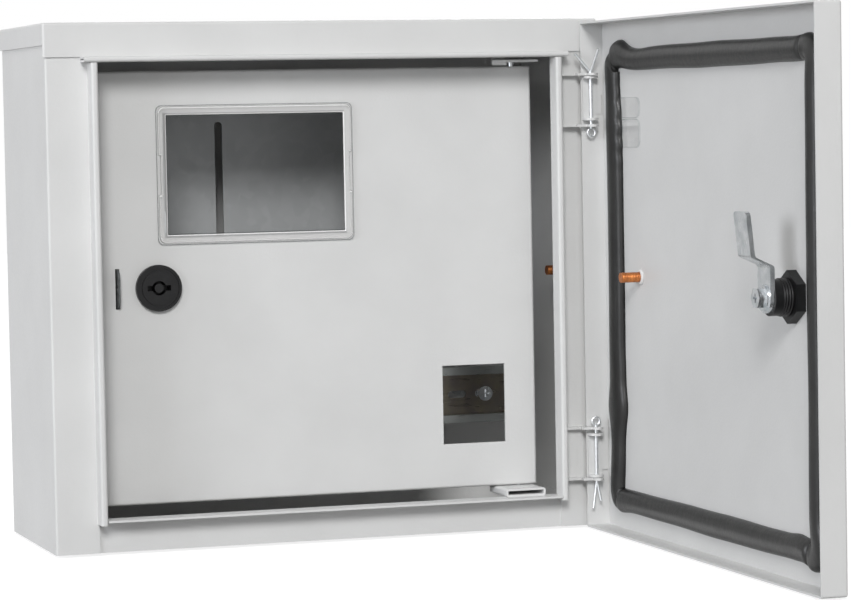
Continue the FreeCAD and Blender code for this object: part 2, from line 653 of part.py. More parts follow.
def split_pin(end, middle, legs_up, legs):
    # Folded wire pin: round eye at one end, two legs bent apart at the other
    half = "(body_tab_pitch / 2 + leaf / 2 + seat_gap)"
    start = f"({middle} - {half} - pin_leg_r)"
    shank = rod(f"{end}_shank", "pin_r", (pin_x, pin_y, start), f"2 * ({half} + pin_leg_r)", "z")
    eye = doc.addObject("Part::Torus", f"{end}_eye")
    eye.Placement = FreeCAD.Placement(FreeCAD.Vector(), FreeCAD.Rotation(FreeCAD.Vector(1, 0, 0), 90))
    bind(eye, "Radius1", "pin_eye_r")
    bind(eye, "Radius2", "pin_leg_r")
    sign = 1 if legs_up else -1
    place(eye, (pin_x, pin_y, f"{middle} - {sign} * ({half} + pin_eye_r + pin_leg_r)"))
    pieces = [shank, eye]
    for hand, aside, forward, length in legs:
        leg = doc.addObject("Part::Cylinder", f"{end}_leg")
        course = FreeCAD.Vector(
            hand * value_of[aside], -value_of[forward] if forward else 0, sign * value_of[length]
        )
        leg.Placement = FreeCAD.Placement(
            FreeCAD.Vector(), FreeCAD.Rotation(FreeCAD.Vector(0, 0, 1), course)
        )
        bind(leg, "Radius", "pin_leg_r")
        bind(leg, "Height", f"sqrt({aside} ^ 2 + ({forward or 0}) ^ 2 + {length} ^ 2)")
        place(leg, (pin_x, pin_y, f"{middle} + {sign} * {half}"))
        pieces.append(leg)
    node(f"{end}_hinge_pin", fuse(f"{end}_pin", pieces))


def earth_stud(name, at, carry):
    # Copper-plated stud welded to the inside of a wall, standing out towards -X at its own origin
    pieces = [
        rod(f"{name}_foot", "stud_foot_r", ("0", "0", "0"), "stud_foot", "y"),
        rod(f"{name}_shank", "stud_r", ("0", "0", "0"), "stud_long", "y"),
    ]
    obj = fuse(f"{name}_turned", pieces)
    node(name, carry(obj, at))


def on_side_wall(obj, at):
    # Turns a piece that points into the wall so that it stands out to the left of the right wall
    obj.Placement = FreeCAD.Placement(FreeCAD.Vector(), FreeCAD.Rotation(FreeCAD.Vector(0, 0, 1), 90))
    return place(obj, at)


def clear_pads():
    # Two soft clear pads stuck to the door beside the gasket, rounded at the far end
    near_edge = f"({door_hinge_edge} - gasket_hinge - gasket_wide - pad_space)"
    far_edge = f"({near_edge} - pad_long)"
    pads = []
    for end, high, drop in (("upper", "pad_upper", "0"), ("lower", "pad_lower", "pad_upper + pad_space")):
        seat = f"({door_inside} + pad_glue)"
        low = (far_edge, seat, f"pad_top - ({drop}) - {high}")
        block = box(f"{end}_pad_block", low, (near_edge, f"{seat} + pad_thick", f"pad_top - ({drop})"))

        def corner(middle, along, extent):
            return abs(along.y) > 0.99 and near(middle.x, extent.XMin)

        pads.append(fillet(f"{end}_pad", block, "pad_round", corner))
    node("clear_pads", swing(group("pads", pads)))


def lock(prefix, reach, cam_long, offset, carry, at):
    # Quarter-turn lock along +Y from the outside of its sheet: housing, nut, insert, cam, washer, screw
    face = "(-lock_head)"
    centre = ("0", "0")

    def turned(name, radius, start, end):
        return rod(f"{prefix}_{name}", radius, (centre[0], start, centre[1]), f"({end}) - ({start})", "y")

    def key_bits(name, start, end):
        low = ("-key_bit", start, "-key_bit_high / 2")
        return box(f"{prefix}_{name}", low, ("key_bit", end, "key_bit_high / 2"))

    insert_start = f"({face} + lock_face + insert_gap)"
    body = fuse(
        f"{prefix}_housing_body",
        [turned("head", "lock_head_r", face, "0"), turned("barrel", "lock_barrel_r", "-lock_face / 2", reach)],
    )
    ring = cut(
        f"{prefix}_ring",
        turned("ring_outer", "ring_out_r", f"{face} - ring_deep", f"{face} + ring_deep"),
        [turned("ring_core", "ring_in_r", f"{face} - 2 * ring_deep", f"{face} + 2 * ring_deep")],
    )
    hollows = [
        turned("bore", "lock_bore_r", f"{face} + lock_face", f"{reach} + skin"),
        turned("key_round", "key_r", f"{face} - skin", f"{face} + lock_face + skin"),
        key_bits("key_slot", f"{face} - skin", f"{face} + lock_face + skin"),
        ring,
    ]
    carry(node(f"{prefix}_housing", cut(f"{prefix}_housing_cut", body, hollows)), at)

    nut = cut(
        f"{prefix}_nut_cut",
        hexagon(f"{prefix}_nut_hex", "lock_nut_flats", ("0", "skin", "0"), "lock_nut", "y", 30),
        [turned("nut_bore", "lock_barrel_r", "0", "2 * skin + lock_nut")],
    )
    carry(node(f"{prefix}_nut", nut), at)

    plug = cut(
        f"{prefix}_plug",
        turned("plug_body", "lock_bore_r - insert_play", insert_start, reach),
        [
            turned("key_pocket", "key_r", f"{insert_start} - skin", f"{insert_start} + key_deep"),
            key_bits("bit_pocket", f"{insert_start} - skin", f"{insert_start} + key_deep"),
        ],
    )
    boss_end = f"({reach} + cam_thick - insert_gap)"
    boss = box(
        f"{prefix}_boss",
        ("-square / 2", f"{reach} - skin", "-square / 2"),
        ("square / 2", boss_end, "square / 2"),
    )
    pin = turned("key_pin", "key_pin_r", f"{face} + insert_gap", f"{insert_start} + key_deep + skin")
    screw_seat = f"({reach} + cam_thick + washer)"
    thread = turned("thread", "cam_screw_r", f"{screw_seat} - cam_screw_long", f"{boss_end} + skin")
    insert = cut(f"{prefix}_insert_cut", fuse(f"{prefix}_insert_body", [plug, boss, pin]), [thread])
    carry(node(f"{prefix}_insert", insert), at)

    half = "(cam_wide / 2)"
    far = f"({reach} + cam_thick)"
    pieces = [turned("cam_round", half, reach, far)]
    if offset:
        start = "door_cam_straight"
        finish = "(door_cam_straight + door_cam_slope)"
        pieces.append(box(f"{prefix}_cam_root", (f"-{half}", reach, "0"), (half, far, start)))
        steps = [
            ("cam_set", start, finish, "0", offset),
            ("cam_tip", finish, cam_long, offset, f"{offset} + door_cam_lean"),
        ]
        for name, low, high, first, last in steps:
            slope = doc.addObject("Part::Wedge", f"{prefix}_{name}")
            slope.Placement = FreeCAD.Placement(
                FreeCAD.Vector(), FreeCAD.Rotation(FreeCAD.Vector(1, 0, 0), 90)
            )
            sections = {
                "Xmin": f"-{half}", "Xmax": half, "X2min": f"-{half}", "X2max": half,
                "Ymin": low, "Ymax": high,
                "Zmin": f"-({far} + {first})", "Zmax": f"-({reach} + {first})",
                "Z2min": f"-({far} + {last})", "Z2max": f"-({reach} + {last})",
            }
            for prop in sections:
                bind(slope, prop, sections[prop])
            pieces.append(slope)
    else:
        pieces.append(box(f"{prefix}_cam_bar", (f"-{half}", reach, "0"), (half, far, cam_long)))
    hole = box(
        f"{prefix}_cam_square",
        ("-square / 2 - square_play", f"{reach} - skin", "-square / 2 - square_play"),
        ("square / 2 + square_play", f"{far} + skin", "square / 2 + square_play"),
    )
    bar = fuse(f"{prefix}_cam_body", pieces)

    def bend(middle, along, extent):
        inside = middle.z > extent.ZMin + 1 and middle.z < extent.ZMax - 1
        return abs(along.x) > 0.99 and inside

    def tip(middle, along, extent):
        return near(middle.z, extent.ZMax) and abs(along.x) < 0.01

    if offset:
        bar = fillet(f"{prefix}_cam_bends", bar, "cam_bend", bend)
    bar = fillet(f"{prefix}_cam_corners", bar, "cam_corner", tip)
    carry(node(f"{prefix}_cam", cut(f"{prefix}_cam_cut", bar, [hole])), at)

    ring = cut(
        f"{prefix}_washer_cut",
        turned("washer_disc", "washer_r", far, f"{far} + washer"),
        [turned("washer_hole", "cam_screw_r", f"{far} - skin", f"{far} + washer + skin")],
    )
    carry(node(f"{prefix}_washer", ring), at)

    bolt = fuse(
        f"{prefix}_bolt",
        [
            hexagon(f"{prefix}_bolt_head", "cam_screw_flats", ("0", screw_seat, "0"), "cam_screw_head", "y"),
            turned("bolt_shank", "cam_screw_r", f"{screw_seat} - cam_screw_long", f"{screw_seat} + skin"),
        ],
    )
    top_face = f"({screw_seat} + cam_screw_head)"
    arms = []
    for wide, high in (("cross_long", "cross_wide"), ("cross_wide", "cross_long")):
        low = (f"-{wide} / 2", f"{top_face} - cross_deep", f"-{high} / 2")
        arms.append(box(f"{prefix}_cross", low, (f"{wide} / 2", f"{top_face} + skin", f"{high} / 2")))
    carry(node(f"{prefix}_screw", cut(f"{prefix}_bolt_cut", bolt, arms)), at)


panel_face = "(-panel_back)"
panel_rear = "(-panel_back + skin)"
return_rear = "(-panel_back + panel_return)"
pivot_x = "(panel_right - pivot_inset)"
pivot_y = "(-panel_back + panel_return / 2)"


def inner_panel():
    # Folded inner panel with the window and breaker cut-outs, lock hole and sealing slot
    block = box("panel_block", ("panel_left", panel_face, "panel_bottom"), ("panel_right", return_rear, "panel_top"))
    hollow = box(
        "panel_hollow",
        ("panel_left + skin", panel_rear, "panel_bottom + skin"),
        ("panel_right - skin", f"{return_rear} + skin", "panel_top - skin"),
    )

    def through(name, x, z, wide, high):
        low = (f"{x} - ({wide}) / 2", f"{panel_face} - skin", f"{z} - ({high}) / 2")
        return box(name, low, (f"{x} + ({wide}) / 2", f"{panel_rear} + skin", f"{z} + ({high}) / 2"))

    window = through(
        "window_hole", "window_x", "window_z",
        "window_wide - 2 * window_rim + 2 * window_wall", "window_high - 2 * window_rim + 2 * window_wall",
    )
    at = ("panel_lock_x", f"{panel_face} - skin", "panel_lock_up")
    cuts = [
        hollow,
        window,
        through("breaker_hole", "breaker_x", "breaker_z", "breaker_wide", "breaker_high"),
        through("sealing_slot", "slot_x", "panel_lock_up", "slot_wide", "slot_high"),
        rod("panel_lock_hole", "lock_barrel_r + lock_hole_play", at, "3 * skin", "y"),
        rod("pivot_hole_low", "pivot_r", (pivot_x, pivot_y, "panel_bottom - skin"), "3 * skin", "z"),
        rod("pivot_hole_high", "pivot_r", (pivot_x, pivot_y, "panel_top - 2 * skin"), "3 * skin", "z"),
    ]
    tray = cut("panel_tray", block, cuts)

    def fold(middle, along, extent):
        on_side = near(middle.x, extent.XMin) or near(middle.x, extent.XMax)
        on_end = near(middle.z, extent.ZMin) or near(middle.z, extent.ZMax)
        return near(middle.y, extent.YMin) and (on_side or on_end)

    node("inner_panel", fillet("panel", tray, "bend", fold))


def panel_pivots():
    # Pivot pins riveted through the panel's top and bottom returns
    pins = []
    for end, edge, sign in (("top", "panel_top", 1), ("bottom", "panel_bottom", -1)):
        inside = f"({edge} - {sign} * skin)"
        head_low = f"{inside} - pivot_head" if sign > 0 else inside
        shank_low = inside if sign > 0 else f"{edge} - pivot_long"
        head = rod(f"{end}_pivot_head", "pivot_head_r", (pivot_x, pivot_y, head_low), "pivot_head", "z")
        shank = rod(f"{end}_pivot_shank", "pivot_r", (pivot_x, pivot_y, shank_low), "pivot_long + skin", "z")
        pins.append(fuse(f"{end}_pivot", [head, shank]))
    node("panel_pivot_pins", group("pivots", pins))


def pivot_brackets():
    # Upper bracket: upstand welded under the cap, plate over the panel, turned-down tab
    plate_low = "upper_plate_up"
    plate_top = "(upper_plate_up + skin)"
    start = f"({pivot_x} - upper_plate_side)"
    end = f"({pivot_x} + upper_plate_side)"
    behind = f"({pivot_y} + bracket_behind)"
    pieces = [
        box("upper_plate", (start, front, plate_low), (end, behind, plate_top)),
        box("upper_upstand", (start, f"{behind} - skin", plate_low), (end, behind, f"{top} - skin")),
        box(
            "upper_tab",
            (f"{start} - upper_tab_wide", front, f"{plate_low} - upper_tab_drop"),
            (start, f"{front} + skin", plate_top),
        ),
    ]
    at = (pivot_x, pivot_y, f"{plate_low} - skin")
    bore = rod("upper_pivot_bore", "pivot_r + pivot_play", at, "3 * skin", "z")
    node("upper_pivot_bracket", cut("upper_pivot", fuse("upper_pivot_folds", pieces), [bore]))

    # Lower bracket: a flat loop of strip welded on the bottom lip
    loop_low = f"({bottom} + bottom_flange)"
    loop_top = "(panel_bottom - panel_lift)"
    first = f"({pivot_x} - loop_left)"
    last = f"({pivot_x} + loop_right)"
    block = box("loop_block", (first, "-loop_front", loop_low), (last, behind, loop_top))
    hollow = box(
        "loop_hollow",
        (f"{first} + skin", "-loop_front - skin", f"{loop_low} + skin"),
        (f"{last} - skin", f"{behind} + skin", f"{loop_top} - skin"),
    )
    at = (pivot_x, pivot_y, f"{loop_top} - 2 * skin")
    bore = rod("lower_pivot_bore", "pivot_r + pivot_play", at, "3 * skin", "z")
    strip = cut("loop_strip", block, [hollow, bore])

    def fold(middle, along, extent):
        return abs(along.y) > 0.99 and (near(middle.x, extent.XMin) or near(middle.x, extent.XMax))

    node("lower_pivot_bracket", fillet("loop", strip, "bend", fold))


def latch_bracket():
    # Angle on the left wall: strike plate for the panel's cam, with the sealing lug
    wall = f"({left} + skin)"
    strike = f"({return_rear} + strike_gap)"
    low = "(panel_lock_up - strike_high / 2)"
    high = "(panel_lock_up + strike_high / 2)"
    lug_left = "(slot_x - skin / 2)"
    lug_front = f"({panel_face} - lug_proud)"
    lug = box(
        "sealing_lug_block",
        (lug_left, lug_front, "panel_lock_up - lug_high / 2"),
        (f"{lug_left} + skin", f"{strike} + leaf", "panel_lock_up + lug_high / 2"),
    )

    def nose(middle, along, extent):
        return abs(along.x) > 0.99 and near(middle.y, extent.YMin)

    pieces = [
        box("strike_plate", (wall, strike, low), ("slot_x + strike_past", f"{strike} + leaf", high)),
        box("strike_leg_plate", (wall, strike, low), (f"{wall} + leaf", f"{strike} + strike_leg", high)),
        fillet("sealing_lug", lug, "lug_round", nose),
    ]
    at = (f"{lug_left} - skin", f"{lug_front} + lug_hole_r + skin", "panel_lock_up")
    hole = rod("seal_hole", "lug_hole_r", at, "3 * skin", "x")
    node("latch_bracket", cut("latch", fuse("latch_folds", pieces), [hole]))


def meter_window():
    # Clear moulded window: rim over the panel, dished pane, skirt through the cut-out and two clips
    def frame(name, shrink, start, end):
        low = (f"window_x - window_wide / 2 + {shrink}", start, f"window_z - window_high / 2 + {shrink}")
        return box(name, low, (f"window_x + window_wide / 2 - {shrink}", end, f"window_z + window_high / 2 - {shrink}"))

    proud = f"({panel_face} - window_proud)"
    level = f"({panel_face} - window_flange)"
    seat = f"({panel_face} - window_seat)"

    def corner(middle, along, extent):
        return abs(along.y) > 0.99 and (near(middle.x, extent.XMin) or near(middle.x, extent.XMax))

    flange = fillet("window_flange_round", frame("window_plate", "0", level, seat), "window_round", corner)
    bead = fillet("window_bead_round", frame("window_bead", "window_bead_in", proud, level), "window_round", corner)
    skirt_out = "(window_rim - window_wall + window_play)"
    skirt_end = f"({panel_face} + window_skirt)"
    skirt = frame("window_skirt_block", skirt_out, seat, skirt_end)
    notches = []
    clips = []
    for side, sign in (("left", -1), ("right", 1)):
        edge = f"(window_x + {sign} * (window_wide / 2 - {skirt_out}))"
        pair = (edge, f"{edge} + {sign} * (clip_bite + window_play)")
        first, last = pair if sign > 0 else pair[::-1]
        low = (first, panel_rear, "window_z - clip_high / 2")
        clips.append(box(f"{side}_clip", low, (last, skirt_end, "window_z + clip_high / 2")))
        outside = f"(window_x + {sign} * (window_wide / 2 - window_bead_in))"
        pair = (f"{outside} - {sign} * window_notch", f"{outside} + {sign} * skin")
        first, last = pair if sign > 0 else pair[::-1]
        low = (first, f"{proud} - skin", "window_z - clip_high / 2")
        notches.append(box(f"{side}_notch", low, (last, level, "window_z + clip_high / 2")))
    solid = fuse("window_solid", [flange, bead, skirt] + clips)
    dish = frame("window_dish_cut", "window_rim", f"{proud} - skin", level)
    inside = frame("window_inside", f"{skirt_out} + window_wall", seat, f"{skirt_end} + skin")
    node("meter_window", cut("window", solid, [dish, inside] + notches))


def screwed_post(name, x, z, seat):
    # Standoff post on the back wall, and the pan-head screw that goes into it
    post = cut(
        f"{name}_post",
        rod(f"{name}_bar", "post_r", (x, f"{seat}", z), f"-skin - ({seat})", "y"),
        [rod(f"{name}_tap", "screw_r", (x, f"{seat} - skin", z), "screw_long + skin", "y")],
    )
    return post


def pan_screw(name, x, z, head_seat, post_seat):
    bar = rod(f"{name}_shank", "screw_r", (x, head_seat, z), f"({post_seat}) + screw_long - ({head_seat})", "y")
    head = rod(f"{name}_head", "screw_head_r", (x, f"{head_seat} - screw_head", z), "screw_head", "y")
    start = f"({head_seat} - screw_head)"
    arms = []
    for wide, high in (("cross_long", "cross_wide"), ("cross_wide", "cross_long")):
        low = (f"{x} - {wide} / 2", f"{start} - skin", f"{z} - {high} / 2")
        arms.append(box(f"{name}_cross", low, (f"{x} + {wide} / 2", f"{start} + cross_deep", f"{z} + {high} / 2")))
    return cut(f"{name}_screw", fuse(f"{name}_blank", [bar, head]), arms)


def meter_plate():
    # Plate that carries the meter, with a hanging slot and two foot slots, on four posts
    face = "(-plate_front)"
    rear = "(-plate_front + plate_thick)"
    low = ("plate_x - plate_wide / 2", face, "plate_low")
    block = box("plate_block", low, ("plate_x + plate_wide / 2", rear, "plate_top"))
    cuts = []

    def slot(name, first, last, half):
        cuts.append(
            box(f"{name}_run", (first[0], f"{face} - skin", first[1]), (last[0], f"{rear} + skin", last[1]))
        )
        for x, z in half:
            cuts.append(rod(f"{name}_end", "hang_wide / 2", (x, f"{face} - skin", z), "plate_thick + 2 * skin", "y"))

    slot(
        "hang",
        ("plate_x - hang_wide / 2", "hang_bottom + hang_wide / 2"),
        ("plate_x + hang_wide / 2", "hang_top - hang_wide / 2"),
        [("plate_x", "hang_bottom + hang_wide / 2"), ("plate_x", "hang_top - hang_wide / 2")],
    )
    for sign in (-1, 1):
        middle = f"plate_x + {sign} * foot_pitch / 2"
        run = "(foot_long - hang_wide) / 2"
        slot(
            "foot",
            (f"{middle} - {run}", "foot_z - hang_wide / 2"),
            (f"{middle} + {run}", "foot_z + hang_wide / 2"),
            [(f"{middle} - {run}", "foot_z"), (f"{middle} + {run}", "foot_z")],
        )
    posts = []
    screws = []
    for across in (-1, 1):
        for z in ("plate_low + post_in", "plate_top - post_in"):
            x = f"plate_x + {across} * (plate_wide / 2 - post_in)"
            cuts.append(rod("plate_hole", "screw_r", (x, f"{face} - skin", z), "plate_thick + 2 * skin", "y"))
            posts.append(screwed_post("plate", x, z, rear))
            screws.append(pan_screw("plate", x, z, face, rear))
    node("meter_plate", cut("plate", block, cuts))
    node("meter_plate_posts", group("plate_posts", posts))
    node("meter_plate_screws", group("plate_screws", screws))


def din_rail():
    # Top-hat rail for breakers, on two posts, screwed through its slots
    face = "(-rail_front)"
    web_rear = "(-rail_front + rail_high)"
    web_front = f"({web_rear} - rail_thick)"
    first = "rail_x - rail_length / 2"
    last = "rail_x + rail_length / 2"
    pieces = [
        box("rail_web", (first, web_front, "rail_z - rail_hat / 2"), (last, web_rear, "rail_z + rail_hat / 2"))
    ]
    for end, sign in (("lower", -1), ("upper", 1)):
        def rise(near_edge, far_edge):
            pair = (f"rail_z + {sign} * ({near_edge})", f"rail_z + {sign} * ({far_edge})")
            return pair if sign > 0 else pair[::-1]

        low, high = rise("rail_hat / 2 - rail_thick", "rail_hat / 2")
        pieces.append(box(f"rail_{end}_side", (first, face, low), (last, web_rear, high)))
        low, high = rise("rail_hat / 2 - rail_thick", "rail_wide / 2")
        pieces.append(box(f"rail_{end}_flange", (first, face, low), (last, f"{face} + rail_thick", high)))
    cuts = []
    steps = (-1.5, -0.5, 0.5, 1.5)
    for step in steps:
        middle = f"rail_x + {step} * rail_pitch"
        run = "(rail_slot - rail_slot_wide) / 2"
        cuts.append(
            box(
                "rail_slot_run",
                (f"{middle} - {run}", f"{web_front} - skin", "rail_z - rail_slot_wide / 2"),
                (f"{middle} + {run}", f"{web_rear} + skin", "rail_z + rail_slot_wide / 2"),
            )
        )
        for side in (-1, 1):
            at = (f"{middle} + {side} * {run}", f"{web_front} - skin", "rail_z")
            cuts.append(rod("rail_slot_end", "rail_slot_wide / 2", at, "rail_thick + 2 * skin", "y"))
    node("din_rail", cut("rail", fuse("rail_folds", pieces), cuts))
    posts = []
    screws = []
    for step in (steps[0], steps[-1]):
        x = f"rail_x + {step} * rail_pitch"
        posts.append(screwed_post("rail", x, "rail_z", web_rear))
        screws.append(pan_screw("rail", x, "rail_z", web_front, web_rear))
    node("din_rail_posts", group("rail_posts", posts))
    node("din_rail_screws", group("rail_screws", screws))


def main():
    body_shell()
    top_cap()
    bottom_pan()
    cable_grommets()
    outer_door()
    door_gasket()
    hinge_brackets("upper", "hinge_upper", 1)
    hinge_brackets("lower", "-hinge_lower", -1)
    upper_legs = [
        (-1, "upper_leg_side", None, "upper_leg_rise"),
        (1, "upper_leg_right", "upper_leg_forward", "upper_leg_high"),
    ]
    split_pin("upper", "hinge_upper", True, upper_legs)
    lower_legs = [
        (-1, "lower_leg_side", None, "lower_leg_drop"),
        (1, "lower_leg_right", "lower_leg_forward", "lower_leg_short"),
    ]
    split_pin("lower", "-hinge_lower", False, lower_legs)
    earth_stud("door_earth_stud", (f"{door_hinge_edge} - door_stud_in", door_inside, "door_stud_up"), swing)
    earth_stud("body_earth_stud", (f"{right} - skin", "-body_stud_back", "body_stud_up"), on_side_wall)
    clear_pads()
    door_lock_at = (f"{door_free_edge} + door_lock_in", door_face, "door_lock_up")
    lock("door_lock", "door_lock_reach", "door_cam_long", "door_cam_offset", swing, door_lock_at)
    panel_lock_at = ("panel_lock_x", panel_face, "panel_lock_up")
    lock("panel_lock", "panel_lock_reach", "panel_cam_long", None, place, panel_lock_at)
    inner_panel()
    panel_pivots()
    pivot_brackets()
    latch_bracket()
    meter_window()
    meter_plate()
    din_rail()
    doc.recompute()


main()

faults = [obj.Name for obj in doc.Objects if "Invalid" in obj.State or "Error" in obj.State]
for name, obj in nodes.items():
    if obj.Shape.isNull() or not obj.Shape.isValid():
        faults.append(name)
if faults:
    raise RuntimeError("failed: " + ", ".join(faults))
os.makedirs("parts", exist_ok=True)
for name, obj in nodes.items():
    obj.Shape.exportStep(f"parts/{name}.step")
    print(name, len(obj.Shape.Solids), round(obj.Shape.Volume, 1))
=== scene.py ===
import json
import math
import bpy
import numpy as np
from mathutils import Matrix, Vector

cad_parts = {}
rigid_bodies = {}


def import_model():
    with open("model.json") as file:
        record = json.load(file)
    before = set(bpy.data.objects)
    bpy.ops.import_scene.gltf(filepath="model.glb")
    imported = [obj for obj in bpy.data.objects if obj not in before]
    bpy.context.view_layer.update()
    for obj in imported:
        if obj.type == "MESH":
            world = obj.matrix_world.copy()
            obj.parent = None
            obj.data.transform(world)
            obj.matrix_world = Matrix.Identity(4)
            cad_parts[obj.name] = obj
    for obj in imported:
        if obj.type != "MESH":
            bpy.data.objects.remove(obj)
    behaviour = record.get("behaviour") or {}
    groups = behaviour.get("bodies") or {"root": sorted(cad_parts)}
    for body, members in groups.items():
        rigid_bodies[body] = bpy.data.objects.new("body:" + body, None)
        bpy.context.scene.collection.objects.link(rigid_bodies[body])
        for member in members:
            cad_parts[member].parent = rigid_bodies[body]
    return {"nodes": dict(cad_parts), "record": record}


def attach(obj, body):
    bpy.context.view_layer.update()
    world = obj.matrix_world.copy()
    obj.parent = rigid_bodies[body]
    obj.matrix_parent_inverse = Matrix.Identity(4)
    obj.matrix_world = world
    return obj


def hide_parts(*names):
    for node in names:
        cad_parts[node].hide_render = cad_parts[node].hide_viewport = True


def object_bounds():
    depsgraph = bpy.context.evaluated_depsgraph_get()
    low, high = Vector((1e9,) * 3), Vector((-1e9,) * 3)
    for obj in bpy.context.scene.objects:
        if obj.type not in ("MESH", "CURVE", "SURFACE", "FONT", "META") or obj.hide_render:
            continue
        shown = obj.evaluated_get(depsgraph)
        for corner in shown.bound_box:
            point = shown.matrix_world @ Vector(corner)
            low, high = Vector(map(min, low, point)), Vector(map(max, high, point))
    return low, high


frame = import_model()
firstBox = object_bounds()
print("stage: frame loaded")

mm = 0.001


def nodeBox(name):
    # Lowest and highest corner of a CAD piece
    corners = np.array(frame["nodes"][name].bound_box)
    return corners.min(axis=0), corners.max(axis=0)


def linear(hexColour):
    # sRGB hex to a linear colour
    parts = [int(hexColour[i:i + 2], 16) / 255 for i in (1, 3, 5)]
    return [p / 12.92 if p <= 0.04045 else ((p + 0.055) / 1.055) ** 2.4 for p in parts] + [1.0]


def addNode(tree, kind, settings=None, inputs=None):
    # One shader node: plain settings, then each input as a value or as a link from a socket
    node = tree.nodes.new(kind)
    for name, value in (settings or {}).items():
        setattr(node, name, value)
    for name, value in (inputs or {}).items():
        if isinstance(value, bpy.types.NodeSocket):
            tree.links.new(value, node.inputs[name])
        else:
            node.inputs[name].default_value = value
    return node


def newMaterial(name):
    material = bpy.data.materials.new(name)
    material.use_nodes = True
    tree = material.node_tree
    tree.nodes.clear()
    place = addNode(tree, "ShaderNodeTexCoord").outputs["Object"]
    return material, tree, place


def noise(tree, place, size, detail, stretch=(1, 1, 1)):
    # Noise whose lumps are about the given size in millimetres, stretched along the axes
    turn = addNode(tree, "ShaderNodeMapping", None, {"Vector": place, "Scale": stretch})
    node = addNode(tree, "ShaderNodeTexNoise", None, {
        "Vector": turn.outputs["Vector"], "Scale": 1 / (size * mm), "Detail": detail,
    })
    return node.outputs["Fac"]


def spread(tree, value, low, high, start=0.3, end=0.7):
    # A value between start and end carried to a range of numbers
    node = addNode(tree, "ShaderNodeMapRange", None, {
        "Value": value, "From Min": start, "From Max": end, "To Min": low, "To Max": high,
    })
    return node.outputs["Result"]


def maths(tree, operation, first, second=0.0):
    # Two numbers taken together, a sum held between nought and one
    settings = {"operation": operation, "use_clamp": operation == "ADD"}
    return addNode(tree, "ShaderNodeMath", settings, {0: first, 1: second}).outputs[0]


def blendColour(tree, factor, first, second):
    # Two colours blended by a factor, each a hex or a socket
    first, second = (linear(c) if isinstance(c, str) else c for c in (first, second))
    node = addNode(tree, "ShaderNodeMix", {"data_type": "RGBA"}, {"Factor": factor, 6: first, 7: second})
    return node.outputs[2]


def drift(tree, look, cloud):
    # A colour that drifts between two tones
    return blendColour(tree, spread(tree, cloud, 0, 1), look["pale"], look["deep"])


def bump(tree, height, depth, strength, under=None):
    # Surface relief of a depth in millimetres, laid over another relief where one is given
    inputs = {"Height": height, "Distance": depth * mm, "Strength": strength}
    if under is not None:
        inputs["Normal"] = under
    return addNode(tree, "ShaderNodeBump", None, inputs).outputs["Normal"]


def blendShaders(tree, factor, first, second):
    inputs = {"Fac": factor, 1: first.outputs[0], 2: second.outputs[0]}
    return addNode(tree, "ShaderNodeMixShader", None, inputs)


def surface(tree, shader):
    addNode(tree, "ShaderNodeOutputMaterial", None, {"Surface": shader.outputs[0]})


def opaque(tree, look, colour, sheen, normal):
    # A finish that can't be seen through, its roughness following the sheen
    surface(tree, addNode(tree, "ShaderNodeBsdfPrincipled", None, {
        "Base Color": colour, "Metallic": look.get("metal", 0.0),
        "Specular IOR Level": look.get("specular", 0.5),
        "Roughness": spread(tree, sheen, *look["rough"]), "Normal": normal,
    }))


# In each look a noise is its size in mm and its detail, and a relief its depth in mm and its strength

def powderCoat():
    # Light grey powder coat: low sheen, with the fine pebbling that breaks up its highlights
    look = {
        "pale": "#d8d8d7", "deep": "#d2d2d1", "specular": 0.42, "rough": (0.36, 0.48),
        "cloud": (55.0, 3.0), "pebble": (1.5, 2.0), "speck": (0.45, 1.0),
        "pebbleRelief": (0.14, 0.55), "speckRelief": (0.03, 0.35),
    }
    material, tree, place = newMaterial("greyPowderCoat")
    cloud = noise(tree, place, *look["cloud"])
    pebble = noise(tree, place, *look["pebble"])
    speck = noise(tree, place, *look["speck"])
    coarse = bump(tree, pebble, *look["pebbleRelief"])
    fine = bump(tree, speck, *look["speckRelief"], coarse)
    opaque(tree, look, drift(tree, look, cloud), pebble, fine)
    return material


def brightZinc():
    # Bright zinc plating: pale bluish metal with drawn streaks and soft cloudy patches
    look = {
        "pale": "#e2e4e6", "deep": "#bcc1c4", "metal": 1.0, "rough": (0.14, 0.3),
        "cloud": (7.0, 3.0), "streak": (1.2, 3.0, (1, 1, 0.12)), "relief": (0.02, 0.4),
    }
    material, tree, place = newMaterial("brightZincPlate")
    streak = noise(tree, place, *look["streak"])
    cloud = noise(tree, place, *look["cloud"])
    opaque(tree, look, drift(tree, look, cloud), streak, bump(tree, streak, *look["relief"]))
    return material


def paintedLitPinWire():
    # Bright zinc on drawn wire: a paler, less metallic copy of the plated zinc, painted light so the thin
    # pins read bright, with a soft wide gleam
    look = {
        "pale": "#eceef0", "deep": "#d8dbdd", "metal": 0.85, "rough": (0.3, 0.42),
        "cloud": (2.0, 2.0), "relief": (0.01, 0.3),
    }
    material, tree, place = newMaterial("paintedLitZincWire")
    cloud = noise(tree, place, *look["cloud"])
    opaque(tree, look, drift(tree, look, cloud), cloud, bump(tree, cloud, *look["relief"]))
    return material


